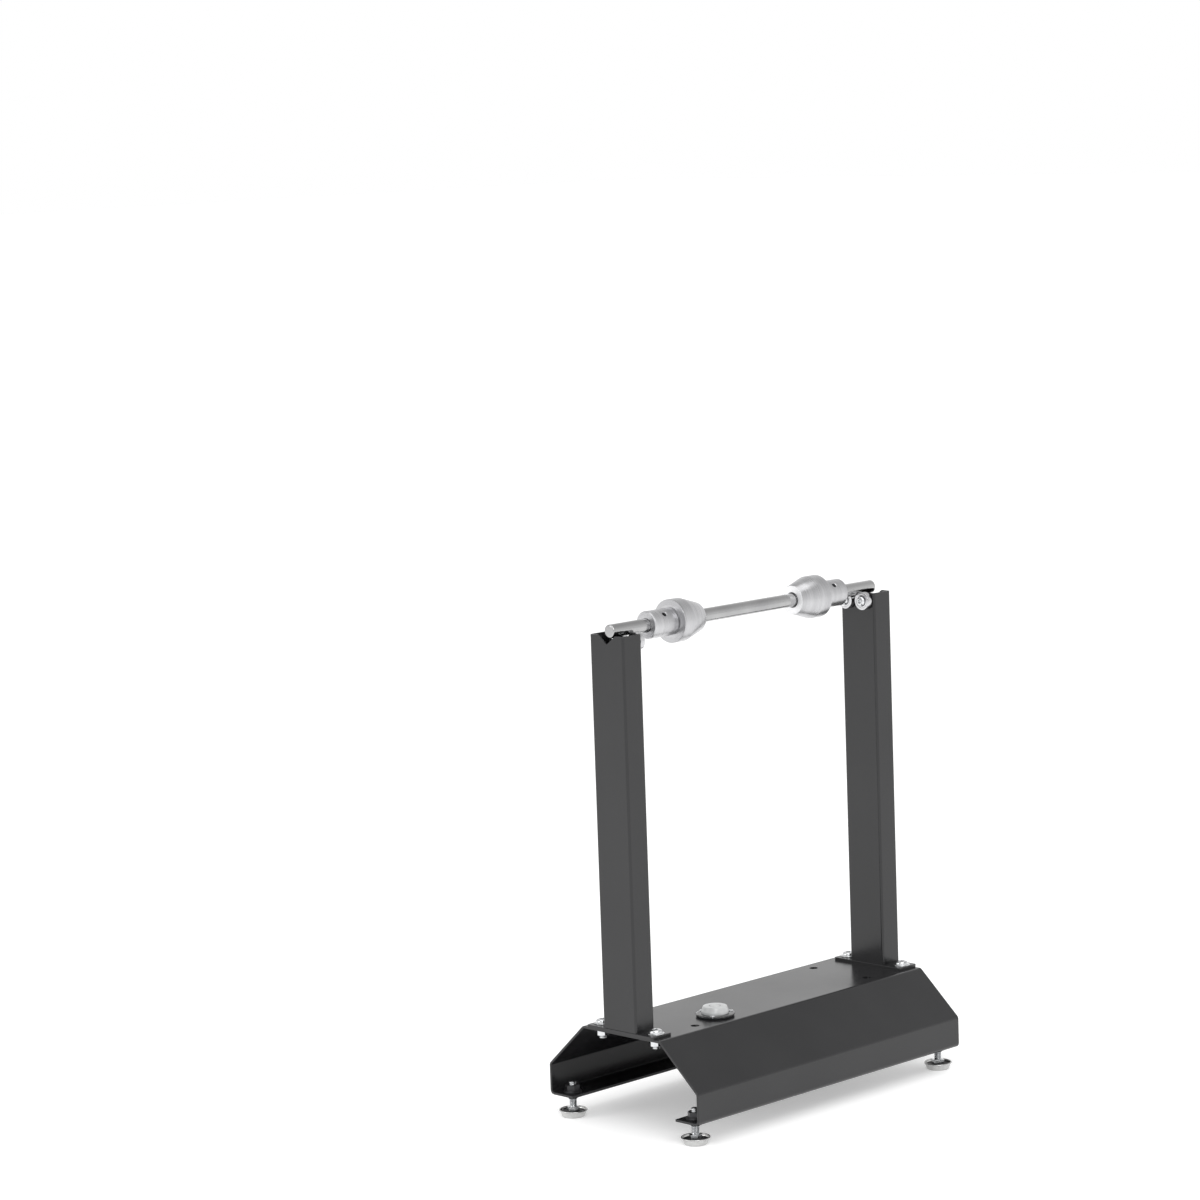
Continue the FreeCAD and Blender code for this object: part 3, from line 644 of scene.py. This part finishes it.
def make_outer_ring(side, depth):
    """Ball bearing's outer ring with rounded shoulders and a recess for each shield."""
    node = corner_node(side, depth, "bearing_outer_ring")
    outside = size(node).z / 2
    width = size(node).x
    inside = 7.6 * MM
    face = outside - 0.9 * MM
    edge = 0.45 * MM
    rings = [steady(inside, 0.0), steady(face, 0.0)]
    rings += arc(edge, outside - edge, edge, -80, 0, 4)
    rings += arc(width - edge, outside - edge, edge, 0, 80, 4)
    rings += [steady(face, width), steady(inside, width), steady(inside, width * 0.75),
              steady(inside + 0.3 * MM, width / 2), steady(inside, width * 0.25)]
    mesh = bmesh.new()
    add_loft(mesh, rings, bearing_axis(side, depth, outer_end(node, side)), 120, True)
    return finish_piece(node + "_detail", mesh, node)


def make_shields(side, depth):
    """Two pressed shields, each with a stepped lip at its inner edge."""
    node = corner_node(side, depth, "bearing_shields")
    width = size(node).x
    outside = 7.55 * MM
    inside = 5.25 * MM
    sheet = 0.35 * MM
    mesh = bmesh.new()
    frame_of = bearing_axis(side, depth, outer_end(node, side))
    for face, deeper in ((0.05 * MM, 1), (width - 0.05 * MM, -1)):
        under = face + deeper * sheet
        step = deeper * 0.3 * MM
        rings = [steady(outside, face), steady(outside - 0.5 * MM, face),
                 steady(outside - 0.7 * MM, face + step * 0.4), steady(inside + 0.5 * MM, face),
                 steady(inside, face + step), steady(inside, under + step),
                 steady(outside, under)]
        add_loft(mesh, rings, frame_of, RING_SEGMENTS, True)
    return finish_piece(node + "_detail", mesh, node)


def make_bearing_bolts(side):
    """M6 bolts with low round heads, hexagon sockets and a short thread past the nut."""
    node = side + "_bearing_bolts"
    length = size(node).x
    seat = length - 3.2 * MM
    dome_foot = seat + 0.9 * MM
    radius = 5.0 * MM
    shank = PIVOT_RADIUS
    rings = turned((1.9, 0.0), (2.3, 0.1 * MM))
    rings += thread(shank, 0.5 * MM, 1.0 * MM, 0.2 * MM, 8.0 * MM)
    rings += [steady(shank, seat), steady(radius - 0.2 * MM, seat),
              steady(radius, seat + 0.2 * MM), steady(radius, dome_foot)]
    for step in range(1, 7):
        turn = math.radians(step * 11)
        rings.append(steady(radius - 3.45 * MM * (1 - math.cos(turn)),
                            dome_foot + 2.5185 * MM * math.sin(turn)))
    rings += hexagon_socket(4.0 * MM, length, length - 2.0 * MM)
    mesh = bmesh.new()
    for depth in DEPTHS:
        add_loft(mesh, rings, bearing_axis(side, depth, outer_end(node, side)), NUT_SEGMENTS)
    return finish_piece(node + "_detail", mesh, node)


def make_bearing_nuts(side):
    """Two M6 nuts inside the upright."""
    node = side + "_bearing_nuts"
    rings = nut_rings(10 * MM, 0.0, size(node).x, PIVOT_RADIUS)
    mesh = bmesh.new()
    for depth in DEPTHS:
        add_loft(mesh, rings, bearing_axis(side, depth, outer_end(node, side)), NUT_SEGMENTS,
                 True)
    return finish_piece(node + "_detail", mesh, node)


# ---------------------------------------------------------------- shaft and what is on it

def make_shaft():
    """Ground bar with rounded ends."""
    radius = 7.0 * MM
    half = size("shaft").x / 2
    round_end = 1.6 * MM
    middle = centre("shaft")
    rings = [steady(0.5 * MM, -half)]
    rings += arc(-half + round_end, radius - round_end, round_end, -90, 0, 8)
    rings += arc(half - round_end, radius - round_end, round_end, 0, 90, 8)
    rings += [steady(0.5 * MM, half)]
    mesh = bmesh.new()
    add_loft(mesh, rings, along_x(middle.x, middle.y, middle.z), FINE_SEGMENTS)
    return finish_piece("shaft_detail", mesh, "shaft", sharp=math.radians(60))


def make_cone(side):
    """Turned cone; local Z runs from its large face to its small one, which carries a painted
    highlight: a lighter copy of the aluminium.
    """
    node = side + "_cone"
    large = size(node).z / 2
    length = size(node).x
    start = outer_end(node, side)
    bore = SHAFT_BORE
    small = 15.1 * MM
    straight = 14.0 * MM
    edge = 0.35 * MM
    lead = 1.2 * MM
    slope = math.degrees(math.atan2(large - small, length - straight))
    rings = [steady(bore, lead), steady(bore + lead, 0.0)]
    rings += arc(edge, large - edge, edge, -90, 0, 4)
    rings += [steady(large, straight - 0.15 * MM), steady(large - 0.03 * MM, straight + 0.15 * MM)]
    rings += arc(length - edge, small - edge, edge, slope, 90, 4)
    rings += [steady(bore + lead, length), steady(bore, length - lead)]
    mesh = bmesh.new()
    middle = centre(node)
    frame_of = along_x(start, middle.y, middle.z, inward(side))
    add_loft(mesh, rings, frame_of, FINE_SEGMENTS, True)
    mesh.normal_update()
    # Flat faces on the small end take the lighter copy, a painted highlight.
    for face in mesh.faces:
        depth = abs(face.calc_center_median().x - start)
        if abs(face.normal.x) > 0.98 and depth > length / 2:
            face.material_index = 1
    return finish_piece(node + "_detail", mesh, node,
                        [MATERIALS["turned_aluminium"], CONE_FACE_HIGHLIGHT_ALUMINIUM], math.radians(12))


def make_collar(side):
    """Locking collar with chamfered ends and a countersunk hole for its grub screw."""
    node = side + "_collar"
    radius = size(node).z / 2
    length = size(node).x
    bore = SHAFT_BORE
    lead = 0.4 * MM
    chamfer = 1.0 * MM
    hole = 2.55 * MM
    rings = [steady(bore, lead), steady(bore + lead, 0.0), steady(radius - chamfer, 0.0),
             steady(radius, chamfer)]
    for offset in (-5.0 * MM, -3.5 * MM, 3.5 * MM, 5.0 * MM):
        rings.append(steady(radius, length / 2 + offset))
    rings += [steady(radius, length - chamfer), steady(radius - chamfer, length),
              steady(bore + lead, length), steady(bore, length - lead)]
    mesh = bmesh.new()
    middle = centre("shaft")
    frame_of = along_x(outer_end(node, side), middle.y, middle.z, inward(side))
    add_loft(mesh, rings, frame_of, FINE_SEGMENTS, True)
    piece = finish_piece(node + "_detail", mesh, node)

    cutter = bmesh.new()
    sink = [steady(hole, bore - 1.0 * MM), steady(hole, radius - 0.5 * MM),
            steady(hole + 0.9 * MM, radius + 0.4 * MM)]
    add_loft(cutter, sink, along_grub_screw(side), 48)
    drill(piece, cutter)
    return piece


def along_grub_screw(side):
    """Local Z runs outward from the shaft's axis through the grub screw."""
    screw = centre(side + "_grub_screw")
    shaft = centre("shaft")
    start = Vector((screw.x, shaft.y, shaft.z))
    turn = (screw - start).to_track_quat("Z", "X").to_matrix().to_4x4()
    return Matrix.Translation(start) @ turn


def make_grub_screw(side):
    """Headless M5 screw: hexagon socket outward, flat point on the shaft."""
    node = side + "_grub_screw"
    radius = 2.5 * MM
    foot = SHAFT_BORE
    top = foot + 5.5 * MM
    rings = [steady(0.3 * MM, foot), steady(1.4 * MM, foot), steady(1.9 * MM, foot + 0.5 * MM)]
    rings += thread(radius, 0.4 * MM, 0.8 * MM, foot + 0.6 * MM, top - 0.3 * MM)
    rings += [steady(radius - 0.4 * MM, top)]
    rings += hexagon_socket(2.5 * MM, top, top - 2.6 * MM)
    mesh = bmesh.new()
    add_loft(mesh, rings, along_grub_screw(side), NUT_SEGMENTS)
    return finish_piece(node + "_detail", mesh, node)


# ---------------------------------------------------------------- spirit level

def level_frame(height=0.0):
    """Local Z points up from the vial's middle."""
    middle = centre("level_vial")
    return along_z(middle.x, middle.y, height)


def make_level_pad():
    """Thin black pad with a soft outer edge under the flange; its black band also stands in for
    the shade beneath the flange, as painted shade.
    """
    low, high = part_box("level_pad")
    radius = size("level_pad").x / 2
    edge = (high.z - low.z) / 2
    rings = [steady(1.0 * MM, low.z)]
    rings += arc(low.z + edge, radius - edge, edge, -90, 90, 6)
    rings += [steady(1.0 * MM, high.z)]
    mesh = bmesh.new()
    add_loft(mesh, rings, level_frame(), RING_SEGMENTS, True)
    return finish_piece("level_pad_detail", mesh, "level_pad")


def make_level_flange():
    """Moulded flange: rounded rim, and a small fillet up to the vial."""
    low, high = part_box("level_flange")
    radius = size("level_flange").x / 2
    bore = 14.3 * MM
    edge = 0.45 * MM
    rings = [steady(bore, low.z)]
    rings += arc(low.z + edge, radius - edge, edge, -90, 0, 4)
    rings += arc(high.z - edge, radius - edge, edge, 0, 90, 4)
    rings += [steady(bore + 0.5 * MM, high.z), steady(bore + 0.1 * MM, high.z + 0.35 * MM),
              steady(bore, high.z + 0.35 * MM)]
    mesh = bmesh.new()
    add_loft(mesh, rings, level_frame(), FLANGE_SEGMENTS, True)
    return finish_piece("level_flange_detail", mesh, "level_flange")


def make_level_vial():
    """Blown vial: rounded shoulder and crown, hollow inside, a fine ring on its top."""
    low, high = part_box("level_vial")
    rise = high.z - low.z
    middle = centre("level_vial")
    pin = 0.5 * MM
    wall = 1.3 * MM
    outside = 14.3 * MM
    crown = 12.2 * MM
    shoulder_bend = 2.5 * MM
    crown_bend = 1.1 * MM
    mark = 5.5 * MM
    groove = rise - 0.12 * MM
    rings = [steady(pin, 0.0), steady(outside - 0.2 * MM, 0.0), steady(outside, 0.2 * MM),
             steady(outside, 1.5 * MM)]
    rings += arc(3.2 * MM, outside - shoulder_bend, shoulder_bend, 0, 24, 4)
    rings += arc(rise - crown_bend, crown - crown_bend * 0.7, crown_bend, 30, 90, 6)
    rings += [steady(mark + 0.45 * MM, rise), steady(mark + 0.35 * MM, groove),
              steady(mark - 0.35 * MM, groove), steady(mark - 0.45 * MM, rise),
              steady(pin, rise), steady(pin, rise - wall),
              steady(crown - wall, rise - wall), steady(outside - wall, rise * 0.5),
              steady(outside - wall, wall), steady(pin, wall)]
    mesh = bmesh.new()
    faces = add_loft(mesh, rings, level_frame(low.z), FLANGE_SEGMENTS, True)
    for face in faces:
        place = face.calc_center_median()
        reach = (place - middle).to_2d().length
        if abs(reach - mark) < 0.2 * MM and place.z > high.z - wall / 2:
            face.material_index = 1
    return finish_piece("level_vial_detail", mesh, "level_vial",
                        [MATERIALS["milky_plastic"], MATERIALS["black_plastic"]])


def make_level_screws():
    """Pan-head screws with a cross recess, evenly spaced on the flange."""
    low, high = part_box("level_screws")
    top = high.z
    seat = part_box("level_flange")[1].z
    middle = centre("level_vial")
    circle = 17.2 * MM
    shank = 1.3 * MM
    point = low.z + 0.6 * MM
    rings = [steady(0.2 * MM, low.z), steady(1.1 * MM, point)]
    rings += thread(shank, 0.25 * MM, 0.7 * MM, point, low.z + 6 * MM)
    rings += turned((1.3, seat), (2.4, seat), (2.5, seat + 0.25 * MM),
                    (2.3, top - 0.35 * MM), (1.8, top - 0.08 * MM))
    rings += [cross_recess(radius * MM, top, 0.7 * MM, 0.35 * MM)
              for radius in (1.5, 1.35, 1.0, 0.7, 0.5, 0.2)]
    mesh = bmesh.new()
    for number in range(3):
        turn = math.radians(-25 + number * 120)
        place = along_z(middle.x + circle * math.cos(turn), middle.y + circle * math.sin(turn))
        add_loft(mesh, rings, place @ Matrix.Rotation(turn, 4, "Z"), NUT_SEGMENTS)
    return finish_piece("level_screws_detail", mesh, "level_screws")


# ---------------------------------------------------------------- pieces

for node, item in frame["nodes"].items():
    item.data.materials.clear()
    item.data.materials.append(MATERIALS[SLOT_OF[node]])
    for polygon in item.data.polygons:
        polygon.material_index = 0

for side in SIDES:
    make_upright_bolts(side)
    make_upright_nuts(side)
    make_bearing_bolts(side)
    make_bearing_nuts(side)
    make_cone(side)
    make_collar(side)
    make_grub_screw(side)
for side, depth in CORNERS:
    make_outer_ring(side, depth)
    make_shields(side, depth)
    make_foot_cup(side, depth)
    make_foot_filling(side, depth)
    make_foot_stem(side, depth)
make_flange_nuts()
make_lock_nuts()
make_shaft()
make_level_pad()
make_level_flange()
make_level_vial()
make_level_screws()


# ---------------------------------------------------------------- stage, light and camera

def make_floor():
    """Wide pale floor that glows a little, so that shadows on it stay light."""
    bpy.ops.mesh.primitive_plane_add(size=60.0, location=(0, 0, 0))
    floor = bpy.context.object
    floor.name = "floor"
    material, tree, shader = start_material("pale_floor", (0.8, 0.8, 0.8), 0.85)
    shader.inputs["Emission Color"].default_value = (1.0, 1.0, 1.0, 1.0)
    shader.inputs["Emission Strength"].default_value = 0.35
    cloud = add_noise(tree, 0.6, 2.0)
    vary_color(tree, shader, cloud, (0.79, 0.79, 0.79), (0.81, 0.81, 0.81))
    floor.data.materials.append(material)


def make_world():
    """White near the horizon and greyer overhead, the same all round."""
    world = bpy.data.worlds.new("studio")
    world.use_nodes = True
    tree = world.node_tree
    background = tree.nodes["Background"]
    place = tree.nodes.new("ShaderNodeTexCoord")
    split = tree.nodes.new("ShaderNodeSeparateXYZ")
    ramp = tree.nodes.new("ShaderNodeValToRGB")
    ramp.color_ramp.elements[0].position = 0.22
    ramp.color_ramp.elements[0].color = (1.0, 1.0, 1.0, 1.0)
    ramp.color_ramp.elements[1].position = 0.95
    ramp.color_ramp.elements[1].color = (0.45, 0.45, 0.45, 1.0)
    tree.links.new(place.outputs["Generated"], split.inputs["Vector"])
    tree.links.new(split.outputs["Z"], ramp.inputs["Fac"])
    tree.links.new(ramp.outputs["Color"], background.inputs["Color"])
    background.inputs["Strength"].default_value = 1.0
    bpy.context.scene.world = world


def make_sun():
    """Very wide overhead light, which keeps the shadow under the base soft."""
    data = bpy.data.lights.new("overhead", "SUN")
    data.energy = 1.1
    data.angle = math.radians(60)
    light = bpy.data.objects.new("overhead", data)
    light.rotation_euler = (math.radians(6), math.radians(-4), 0)
    bpy.context.scene.collection.objects.link(light)


def make_light(name, location, width, height, power):
    """Rectangular light that faces the middle of the stand."""
    aim = Vector((0.0, 0.0, 0.3))
    data = bpy.data.lights.new(name, "AREA")
    data.shape = "RECTANGLE"
    data.size = width
    data.size_y = height
    data.energy = power
    light = bpy.data.objects.new(name, data)
    light.location = location
    light.rotation_mode = "QUATERNION"
    light.rotation_quaternion = (aim - Vector(location)).to_track_quat("-Z", "Y")
    bpy.context.scene.collection.objects.link(light)


def make_camera():
    """A long lens from the left front, a little above the shaft, rolled by 2 degrees."""
    azimuth = math.radians(-44.9)
    elevation = math.radians(7.44)
    roll = math.radians(-2.0)
    distance = 4.014
    aim = Vector((-0.0845, 0.1248, 0.5195))
    back = Vector((math.sin(azimuth) * math.cos(elevation),
                   -math.cos(azimuth) * math.cos(elevation), math.sin(elevation)))
    data = bpy.data.cameras.new("camera")
    data.lens = 116.45
    data.sensor_width = 36.0
    data.clip_start = 0.1
    data.clip_end = 200.0
    camera = bpy.data.objects.new("camera", data)
    camera.location = aim + back * distance
    turn = back.to_track_quat("Z", "Y").to_matrix().to_4x4() @ Matrix.Rotation(roll, 4, "Z")
    camera.rotation_mode = "QUATERNION"
    camera.rotation_quaternion = turn.to_quaternion()
    bpy.context.scene.collection.objects.link(camera)
    bpy.context.scene.camera = camera


make_floor()
make_world()
make_sun()
make_light("key", (-1.4, -2.2, 2.6), 1.8, 1.2, 30)
make_light("side", (-2.4, 1.3, 1.7), 1.2, 1.6, 14)
make_camera()
bpy.context.scene.view_settings.view_transform = "Standard"
